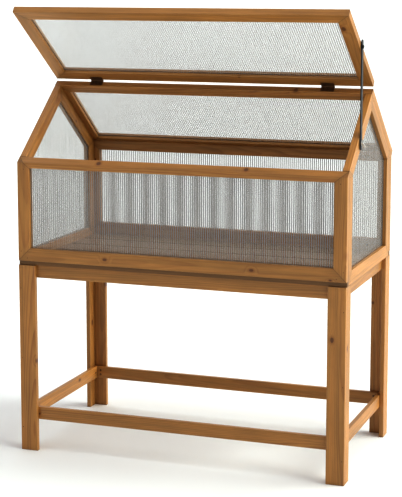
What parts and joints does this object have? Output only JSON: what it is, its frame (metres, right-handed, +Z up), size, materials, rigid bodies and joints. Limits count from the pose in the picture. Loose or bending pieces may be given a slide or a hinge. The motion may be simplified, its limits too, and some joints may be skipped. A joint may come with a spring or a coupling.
{
  "type": "raised cold frame",
  "caption": "Raised wooden cold frame on a four-legged stand, with a glazed box, a fixed back roof slope and a hinged front lid held open by a side stay.",
  "frame": {"origin": "centre of the stand's footprint, on the ground", "axes": "+Z up, +Y towards the fixed back roof slope, +X towards the end that carries the stay"},
  "size_m": [1.0182, 0.5589, 1.3269],
  "materials": {
    "stained_fir": "satin honey stain, open softwood grain",
    "twin_wall_sheet": "translucent twin-wall sheet with fine flutes",
    "bronzed_steel": "dark bronze lacquer",
    "black_steel": "satin black",
    "zinc_steel": "bright zinc plate"
  },
  "bodies": {
    "frame": {"back_roof_eave_rail": "stained_fir", "back_roof_glazing": "twin_wall_sheet", "back_roof_left_rail": "stained_fir", "back_roof_ridge_rail": "stained_fir", "back_roof_right_rail": "stained_fir", "floor_slats": "stained_fir", "front_apron": "stained_fir", "front_left_leg_face_board": "stained_fir", "front_left_leg_side_board": "stained_fir", "front_panel_bottom_rail": "stained_fir", "front_panel_glazing": "twin_wall_sheet", "front_panel_left_stile": "stained_fir", "front_panel_right_stile": "stained_fir", "front_panel_top_rail": "stained_fir", "front_right_leg_face_board": "stained_fir", "front_right_leg_side_board": "stained_fir", "front_stretcher": "stained_fir", "hinge_frame_leaves": "bronzed_steel", "hinge_frame_screws": "bronzed_steel", "hinge_pins": "zinc_steel", "left_apron": "stained_fir", "left_end_front_post": "stained_fir", "left_end_front_rafter": "stained_fir", "left_end_glazing": "twin_wall_sheet", "left_end_rear_post": "stained_fir", "left_end_rear_rafter": "stained_fir", "left_end_sill": "stained_fir", "left_stretcher": "stained_fir", "rear_apron": "stained_fir", "rear_left_leg_face_board": "stained_fir", "rear_left_leg_side_board": "stained_fir", "rear_panel_bottom_rail": "stained_fir", "rear_panel_glazing": "twin_wall_sheet", "rear_panel_left_stile": "stained_fir", "rear_panel_right_stile": "stained_fir", "rear_panel_top_rail": "stained_fir", "rear_right_leg_face_board": "stained_fir", "rear_right_leg_side_board": "stained_fir", "rear_stretcher": "stained_fir", "right_apron": "stained_fir", "right_end_front_post": "stained_fir", "right_end_front_rafter": "stained_fir", "right_end_glazing": "twin_wall_sheet", "right_end_rear_post": "stained_fir", "right_end_rear_rafter": "stained_fir", "right_end_sill": "stained_fir", "right_stretcher": "stained_fir", "stand_screws": "bronzed_steel"},
    "lid": {"lid_front_rail": "stained_fir", "lid_glazing": "twin_wall_sheet", "lid_hinge_rail": "stained_fir", "lid_left_rail": "stained_fir", "lid_right_rail": "stained_fir", "hinge_lid_leaves": "bronzed_steel", "hinge_lid_screws": "bronzed_steel", "stay_pivot_screw": "black_steel", "stay_pivot_washer": "black_steel"},
    "stay": {"stay_bar": "black_steel"},
    "wing_screw": {"stay_wing_screw": "zinc_steel"}
  },
  "joints": [
    {"name": "lid_hinge", "type": "hinge", "parent": "frame", "child": "lid", "pos_m": [0, 0.01826, 1.09678], "axis": [1, 0, 0], "range_deg": [0, 73.8]},
    {"name": "stay_pivot", "type": "hinge", "parent": "lid", "child": "stay", "pos_m": [0.503, -0.13708, 1.22135], "axis": [1, 0, 0], "range_deg": [-74, 0]},
    {"name": "wing_screw_turn", "type": "hinge", "parent": "stay", "child": "wing_screw", "pos_m": [0.505, -0.13708, 0.95335], "axis": [1, 0, 0], "continuous": true}
  ],
  "couplings": [
    {"joint": "stay_pivot", "follows": "lid_hinge", "ratio": -1}
  ]
}
